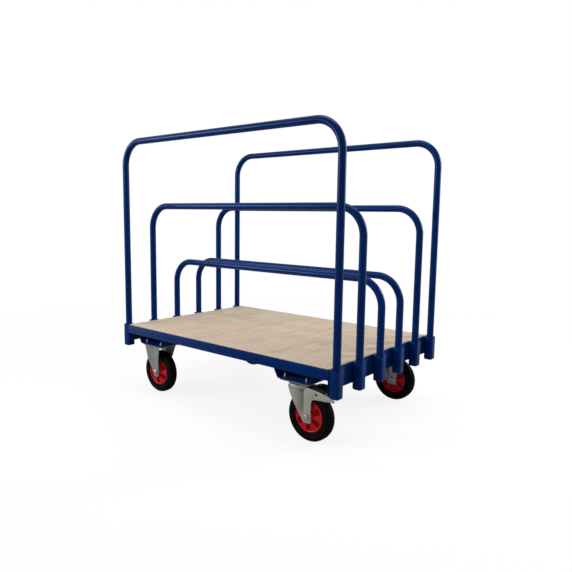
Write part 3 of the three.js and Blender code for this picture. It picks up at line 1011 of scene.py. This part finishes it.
class CART_OT_axles(bpy.types.Operator):
    """Makes an axle bolt with its washers and locking nut and copies it to the four castors"""

    bl_idname = "cart.axles"
    bl_label = "Axle Bolts"

    def execute(self, context):
        nodes = [f"{castor}_axle_bolt" for castor in CASTORS]
        line = (middle_of(f"{CASTORS[0]}_wheel_centre"), ALONG_Y)
        seat = 0.0323
        washer = 0.0018
        bore = 0.0061
        flats = 0.019
        bolt = join(
            [
                rod(*line, radius=0.006, low=-seat - 0.004, high=seat + 0.0128, ease=0.0008),
                disc(*line, bore, outer=0.0120, low=-seat - washer, high=-seat, ease=0.0004),
                hex_head(*line, flats, low=-seat - washer, high=-seat - 0.0062, crown=0.0012),
                disc(*line, bore, outer=0.0120, low=seat, high=seat + washer, ease=0.0004),
                hex_head(*line, flats, low=seat + washer, high=seat + 0.0078, crown=0.0008),
                disc(*line, bore, outer=0.0084, low=seat + 0.0075, high=seat + 0.0102, ease=0.0009),
            ]
        )
        repeat(bolt, nodes[0], nodes, finish_for("steel"))
        return {"FINISHED"}


def top_plate(low, high):
    """A castor's top plate with rounded corners, in the box of its node."""
    centre = (low + high) / 2
    centre.z = high.z - PLATE_WALL
    plate = rounded_block(centre, PLATE_LENGTH, PLATE_WIDTH, PLATE_CORNER, PLATE_WALL)
    soften(plate, SHEET_EASE)
    return plate


class CART_OT_rigid_brackets(bpy.types.Operator):
    """Presses the fixed castors' brackets: a plate with two fluted legs that lean in to the axle"""

    bl_idname = "cart.rigid_brackets"
    bl_label = "Fixed Castor Brackets"

    def execute(self, context):
        sizes = context.scene.cart_sizes
        nodes = [f"{castor}_bracket" for castor in RIGIDS]
        low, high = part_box(nodes[0])
        hub = middle_of(f"{RIGIDS[0]}_wheel_centre")
        plate = top_plate(low, high)
        legs = [self.leg(hub, high.z - PLATE_WALL, side, sizes) for side in (-1, 1)]
        bracket = join([plate, *legs])
        repeat(bracket, nodes[0], nodes, finish_for("dull zinc"), angle=45)
        return {"FINISHED"}

    def leg(self, hub, top, side, sizes):
        sole = hub.z - SOLE_DROP
        # Height, and the leading and trailing edge from the axle
        edges = [
            (top, -0.0545, 0.0510),
            (hub.z + 0.06, -0.0480, 0.0305),
            (hub.z + 0.02, -0.0320, 0.0205),
            (hub.z, -0.0235, 0.0185),
            (sole + 0.012, -0.0188, 0.0180),
            (sole + 0.004, -0.0160, 0.0165),
            (sole + 0.001, -0.0120, 0.0130),
            (sole, -0.0080, 0.0085),
        ]
        leading = [(height, start) for height, start, end in edges]
        trailing = [(height, end) for height, start, end in edges]
        # Height, and the outer face from the wheel's middle
        outside = [(top, 0.0520), (top - 0.006, 0.0510), (hub.z + 0.060, 0.0415)]
        outside += [(hub.z + 0.024, 0.0340), (hub.z + 0.012, 0.0320), (sole, 0.0320)]
        # Height, and the share of the flute's depth
        flute = [(top, 0.35), (top - 0.022, 1.0), (hub.z + 0.060, 0.75), (hub.z + 0.032, 0.42)]
        flute += [(hub.z + 0.016, 0.0), (sole, 0.0)]
        flute_start, flute_width = 0.08, 0.82

        def surface(across, down):
            height = top + (sole - top) * down
            start = at(leading, height)
            end = at(trailing, height)
            share = min(1.0, max(0.0, (across - flute_start) / flute_width))
            inset = sizes.flute_depth * at(flute, height) * math.sin(math.pi * share) ** 2
            outer = hub.y + side * (at(outside, height) - inset)
            return Vector((hub.x + start + (end - start) * across, outer, height))

        return wall_sheet(pressed(surface, columns=20, rows=44), side, wall=0.0035)


class CART_OT_swivel_heads(bpy.types.Operator):
    """Makes the swivel castors' top plates with their races and finishes the king pins and balls"""

    bl_idname = "cart.swivel_heads"
    bl_label = "Swivel Heads"

    def execute(self, context):
        nodes = [f"{castor}_top_plate" for castor in SWIVELS]
        low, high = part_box(nodes[0])
        pivot = (low + high) / 2
        pivot.z = 0
        plate = top_plate(low, high)
        race = disc(pivot, ALONG_Z, inner=0.0084, outer=0.042, low=low.z, high=high.z - 0.002, ease=0.0015)
        repeat(join([plate, race]), nodes[0], nodes, finish_for("dull zinc"))
        for castor in SWIVELS:
            keep(f"{castor}_king_pin", finish_for("steel"))
            keep(f"{castor}_ball_ring", finish_for("steel"))
        return {"FINISHED"}


class CART_OT_swivel_forks(bpy.types.Operator):
    """Presses the swivel forks: a round crown and scooped legs, with brake wings on the front one"""

    bl_idname = "cart.swivel_forks"
    bl_label = "Swivel Forks"

    def execute(self, context):
        sizes = context.scene.cart_sizes
        near_reach = 0.082
        far_reach = 0.068
        for castor in SWIVELS:
            hub = middle_of(f"{castor}_wheel_centre")
            pivot = middle_of(f"{castor}_king_pin")
            pivot.z = 0
            pieces = [turned(in_metres(CROWN), pivot, ALONG_Z, steps=64)]
            for side, reach in ((-1, near_reach), (1, far_reach)):
                if castor == BRAKED:
                    pieces.append(self.winged_flat(hub, pivot, side, reach))
                else:
                    pieces.append(self.plain_flat(hub, pivot, side))
                pieces.append(self.scoop(hub, pivot, side, sizes))
            stand_for(join(pieces), f"{castor}_fork", finish_for("fork zinc"), angle=45)
        return {"FINISHED"}

    def crest(self, start, control_x, pivot):
        """The upper edge of a flat, up to the crown."""
        in_crown = (pivot.x + 0.044, 0.215)
        control_z = 0.212
        return curve(start, (control_x, control_z), in_crown)

    def plain_flat(self, hub, pivot, side):
        back = hub.x + 0.027
        tail = self.crest((back, hub.z + 0.070), back, pivot)
        plate = self.flat(hub, hub.x + PLAIN_FORK_HEEL, tail, side)
        return self.eased(plate)

    def winged_flat(self, hub, pivot, side, reach):
        """A flat with a wing back past the brake's hinge pin, rounded on top and drilled for the pin."""
        pin = middle_of(f"{BRAKED}_brake_pin")
        heel = hub.x + FORK_HEEL
        tip = pin.x + reach
        under = pin.z - 0.022
        outer = hub.y + side * FORK_FACE
        tail = [(heel, under - 0.016), (heel + 0.0015, under - 0.009), (heel + 0.006, under - 0.0035)]
        tail += [(heel + 0.012, under - 0.0008), (heel + 0.019, under + 0.001)]
        tail += [(tip - 0.002, pin.z - 0.0145), (tip, pin.z - 0.013), (tip, pin.z - 0.010)]
        tail += [(tip - 0.002, pin.z - 0.006)]
        tail += self.crest((tip - 0.020, pin.z + 0.002), pivot.x + 0.105, pivot)
        plate = self.flat(hub, heel, tail, side)

        def on_crest(edge):
            spot = middle(edge)
            outside = abs(spot.y - outer) < MM / 10
            return outside and spot.z > pin.z - 0.004 and spot.x > tail[-1][0] + MM

        round_edges(plate, on_crest, radius=0.0033, segments=3)
        hole = Vector((pin.x, hub.y + side * (FORK_FACE - FORK_WALL / 2), pin.z))
        tool = rod(hole, ALONG_Y, radius=0.0045, low=-0.01, high=0.01, ease=0.0)
        apply_modifier(plate, "BOOLEAN", operation="DIFFERENCE", object=tool, solver="EXACT")
        bpy.data.objects.remove(tool)
        return self.eased(plate)

    def flat(self, hub, heel, tail, side):
        """The flat rear half of a leg, from the crease to its tail."""
        sole = hub.z - SOLE_DROP
        crease = hub.x - FORK_CREASE
        outline = [(tail[-1][0], FORK_TOP), (crease, FORK_TOP), (crease, sole)]
        outline += [(heel - 0.007, sole), (heel - 0.003, sole + 0.001), (heel - 0.001, sole + 0.003)]
        outline += [(heel, sole + 0.007), *tail]
        outer = hub.y + side * FORK_FACE
        return prism([(x, outer, z) for x, z in outline], ALONG_Y * (-side * FORK_WALL))

    def eased(self, plate):
        soften(plate, width=0.0012, segments=3, angle=SHEET_ANGLE)
        return plate

    def scoop(self, hub, pivot, side, sizes):
        """The scooped front half of a leg, which meets the flat at the crease."""
        sole = hub.z - SOLE_DROP
        overlap = 0.0002
        crease = hub.x - FORK_CREASE + overlap
        deepest = 0.72
        # Height, and the leading edge
        leading = [(FORK_TOP, pivot.x - 0.0440), (0.198, pivot.x - 0.0405), (0.178, pivot.x - 0.0330)]
        leading += [(0.157, pivot.x - 0.0215), (0.130, pivot.x - 0.0040), (sole + 0.012, hub.x - 0.0225)]
        leading += [(sole + 0.005, hub.x - 0.0190), (sole + 0.0015, hub.x - 0.0160), (sole, hub.x - 0.0120)]
        # Height, and the share of the scoop's depth
        depth = [(FORK_TOP, 1.3), (0.194, 1.2), (0.184, 1.0)]
        depth += [(hub.z + 0.046, 1.0), (hub.z + 0.006, 0.0), (sole, 0.0)]

        def surface(across, down):
            height = FORK_TOP + (sole - FORK_TOP) * down
            start = at(leading, height)
            if across < deepest:
                dip = math.sin(QUARTER_TURN * across / deepest)
            else:
                dip = math.cos(QUARTER_TURN * (across - deepest) / (1 - deepest))
            inset = sizes.scoop_depth * at(depth, height) * dip
            return Vector((start + (crease - start) * across, hub.y + side * (FORK_FACE - inset), height))

        return wall_sheet(pressed(surface, columns=24, rows=44), side, wall=0.0025)


class CART_OT_brake(bpy.types.Operator):
    """Moulds the arched brake pedal, sets its hinge pin and cross pin and finishes the shoe"""

    bl_idname = "cart.brake"
    bl_label = "Brake Pedal"

    def execute(self, context):
        pin = middle_of(f"{BRAKED}_brake_pin")
        coat = finish_for("pedal")
        stand_for(self.pedal(pin), f"{BRAKED}_brake_pedal", coat, angle=40)
        hinge_pin = turned(both_halves(HINGE_PIN_HALF), pin, ALONG_Y, steps=32)
        stand_for(hinge_pin, f"{BRAKED}_brake_pin", coat)
        keep(f"{BRAKED}_brake_shoe", coat)
        across = pin + Vector((0.044, 0, 0.011))
        stay = rod(across, ALONG_Y, radius=0.003, low=-0.0287, high=0.0287, ease=0.0006)
        dress(stay, "pedal_cross_pin", finish_for("steel"))
        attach(stay, BODY_OF[f"{BRAKED}_brake_pedal"])
        return {"FINISHED"}

    def pedal(self, pin):
        """An arch over two side plates, drawn in millimetres from the hinge pin."""
        upper = curve((-37, 13), (-37, 29), (0, 29)) + curve((0, 29), (30, 29), (63, 9))[1:]
        lower = curve((63, 2), (30, 22), (0, 22)) + curve((0, 22), (-30, 22), (-30, 13))[1:]
        half = 0.0275
        skirt_wall = 0.003
        skirt_inset = 0.0002
        arch = prism(self.placed(upper + lower, pin - ALONG_Y * half), ALONG_Y * (2 * half))
        soften(arch, width=0.0026, segments=4, angle=SHEET_ANGLE)
        pieces = [arch]
        for y in (-half + skirt_inset, half - skirt_wall - skirt_inset):
            plate = prism(self.placed(PEDAL_SKIRT, pin + ALONG_Y * y), ALONG_Y * skirt_wall)
            soften(plate, SHEET_EASE, angle=SHEET_ANGLE)
            pieces.append(plate)
        return join(pieces)

    def placed(self, points, start):
        return [start + Vector((x * MM, 0, z * MM)) for x, z in points]


class CART_OT_castor_bolts(bpy.types.Operator):
    """Fits the bolts, washers and nuts that hold the castor plates to their channels"""

    bl_idname = "cart.castor_bolts"
    bl_label = "Castor Bolts"

    def execute(self, context):
        places = self.places()
        bolt = self.bolt(places[0], context.scene.cart_sizes)
        copies = [copy_of(bolt, place - places[0]) for place in places[1:]]
        for number, piece in enumerate([bolt, *copies], 1):
            dress(piece, f"castor_bolt_{number:02d}", finish_for("steel"))
            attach(piece, "frame")
        return {"FINISHED"}

    def places(self):
        """The bolt holes, at the top of the castor plates."""
        half_length = 0.0525
        half_width = 0.040
        places = []
        for castor in CASTORS:
            low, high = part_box(f"{castor}_bracket" if castor in RIGIDS else f"{castor}_top_plate")
            centre = (low + high) / 2
            for x in (-half_length, half_length):
                for y in (-half_width, half_width):
                    places.append(Vector((centre.x + x, centre.y + y, high.z)))
        return places

    def bolt(self, place, sizes):
        line = (place, ALONG_Z)
        thread = sizes.bolt_thread / 2
        return join(
            [
                rod(*line, radius=thread, low=-0.007, high=0.0215, ease=0.0008),
                disc(*line, inner=0.0, outer=0.0085, low=-0.0088, high=-0.0050, ease=0.0015),
                disc(*line, inner=thread, outer=0.0068, low=0.004, high=0.0056, ease=0.0004),
                hex_head(*line, sizes.bolt_flats, low=0.0056, high=0.0124, crown=0.0008),
                disc(*line, inner=thread, outer=0.0049, low=0.0120, high=0.0142, ease=0.0007),
            ]
        )


# Stage

# The camera fitted to the photograph: its place in metres, its axes and its focal length in pixels
CAMERA_PLACE = (1.68604, -1.96928, 0.85462)
CAMERA_RIGHT = Vector((0.77188659, 0.63559996, 0.01427519))
CAMERA_UP = Vector((-0.09075476, 0.08793522, 0.99198335))
CAMERA_FORWARD = Vector((-0.62924928, 0.76699419, -0.12555974))
FOCAL_PIXELS = 552.024
IMAGE_PIXELS = 572
SENSOR_WIDTH = 36.0

# Name, place, width and height in metres, power in watts and spread in degrees
LAMPS = (
    ("overhead_strip", (0.1, -0.2, 3.3), (2.2, 0.4), 38.0, 180),
    ("left_softbox", (-1.83, -2.17, 1.4), (1.3, 0.5), 10.0, 75),
    ("back_right_softbox", (2.2, 2.4, 1.9), (0.8, 1.6), 68.0, 180),
)
LAMP_AIM = Vector((0, 0, 0.45))


class CART_OT_stage(bpy.types.Operator):
    """Sets the pale floor, the soft studio light and the camera"""

    bl_idname = "cart.stage"
    bl_label = "Studio Stage"

    def execute(self, context):
        scene = context.scene
        scene.view_settings.view_transform = "Standard"
        self.floor(scene)
        self.world(scene)
        self.lamps()
        self.camera(scene)
        return {"FINISHED"}

    def floor(self, scene):
        """A floor that looks white from a little way off and keeps the cart's shadow."""
        deselect()
        bpy.ops.mesh.primitive_plane_add(size=60, location=(0, 0, 0))
        floor = bpy.context.object
        floor.name = "floor"
        finish = Finish("pale_floor")
        patch = finish.noise(scale=0.6, detail=2.0)
        worn = finish.shades(patch, scene.cart_colours.floor, dark=0.99, light=1.01)
        pale = (0.9, 0.9, 0.9)
        finish.set(
            base_color=finish.mix(finish.ray("Camera"), worn, pale),
            roughness=0.9,
            specular_ior_level=0.0,
        )
        glow = finish.node("ShaderNodeEmission", {}, {"Color": WHITE, "Strength": 1.0})
        away = finish.node("ShaderNodeVectorMath", {"operation": "LENGTH"}, {0: finish.place}, "Value")
        shown = finish.between(away, low=1.2, high=3.2, out_low=0.86)
        mirrored = finish.between(away, low=2.0, high=6.0)
        glossy = finish.ray("Glossy")
        share = finish.seen() * (glossy * mirrored + (1 - glossy) * shown)
        surface = Wire(finish, finish.shader.outputs[0])
        mixed = finish.node("ShaderNodeMixShader", {}, {0: share, 1: surface, 2: glow})
        finish.feed(finish.tree.nodes["Material Output"].inputs["Surface"], mixed)
        floor.data.materials.append(finish.material)

    def world(self, scene):
        """White where it is seen, dimmer where it lights the cart or is mirrored in it."""
        world = bpy.data.worlds.new("studio")
        world.use_nodes = True
        scene.world = world
        tree = Nodes(world.node_tree)
        ambient = 0.55
        mirrored_loss = 0.35
        shown = tree.between(tree.seen(), low=0.0, high=1.0, out_low=ambient)
        strength = shown - mirrored_loss * tree.ray("Glossy")
        background = world.node_tree.nodes["Background"]
        background.inputs["Color"].default_value = WHITE
        tree.feed(background.inputs["Strength"], strength)

    def lamps(self):
        for name, place, size, power, spread in LAMPS:
            deselect()
            bpy.ops.object.light_add(type="AREA", location=place)
            lamp = bpy.context.object
            lamp.name = name
            lamp.data.shape = "RECTANGLE"
            lamp.data.size, lamp.data.size_y = size
            lamp.data.energy = power
            lamp.data.spread = math.radians(spread)
            lamp.rotation_euler = (LAMP_AIM - Vector(place)).to_track_quat("-Z", "Y").to_euler()

    def camera(self, scene):
        turn = Matrix((CAMERA_RIGHT, CAMERA_UP, -CAMERA_FORWARD)).transposed()
        deselect()
        bpy.ops.object.camera_add(location=CAMERA_PLACE, rotation=turn.to_euler())
        camera = bpy.context.object
        camera.name = "photo_camera"
        camera.data.sensor_width = SENSOR_WIDTH
        camera.data.lens = FOCAL_PIXELS / IMAGE_PIXELS * SENSOR_WIDTH
        camera.data.clip_end = 100.0
        scene.camera = camera


OPERATORS = (
    CART_OT_rails,
    CART_OT_deck,
    CART_OT_channels,
    CART_OT_sockets,
    CART_OT_hoops,
    CART_OT_wheels,
    CART_OT_axles,
    CART_OT_rigid_brackets,
    CART_OT_swivel_heads,
    CART_OT_swivel_forks,
    CART_OT_brake,
    CART_OT_castor_bolts,
    CART_OT_stage,
)


class CART_PT_builder(bpy.types.Panel):
    bl_idname = "CART_PT_builder"
    bl_label = "Sheet Goods Cart"
    bl_space_type = "VIEW_3D"
    bl_region_type = "UI"
    bl_category = "Cart"

    def draw(self, context):
        layout = self.layout
        for group in (context.scene.cart_sizes, context.scene.cart_colours):
            box = layout.box()
            for key in group.__annotations__:
                box.prop(group, key)
        for operator in OPERATORS:
            layout.operator(operator.bl_idname)


CLASSES = (CartSizes, CartColours, *OPERATORS, CART_PT_builder)


def register():
    for item in CLASSES:
        bpy.utils.register_class(item)
    bpy.types.Scene.cart_sizes = bpy.props.PointerProperty(type=CartSizes)
    bpy.types.Scene.cart_colours = bpy.props.PointerProperty(type=CartColours)


def unregister():
    del bpy.types.Scene.cart_colours
    del bpy.types.Scene.cart_sizes
    for item in reversed(CLASSES):
        bpy.utils.unregister_class(item)


def main():
    register()
    for operator in OPERATORS:
        getattr(bpy.ops.cart, operator.bl_idname.removeprefix("cart."))()
    deselect()


if __name__ == "__main__":
    main()
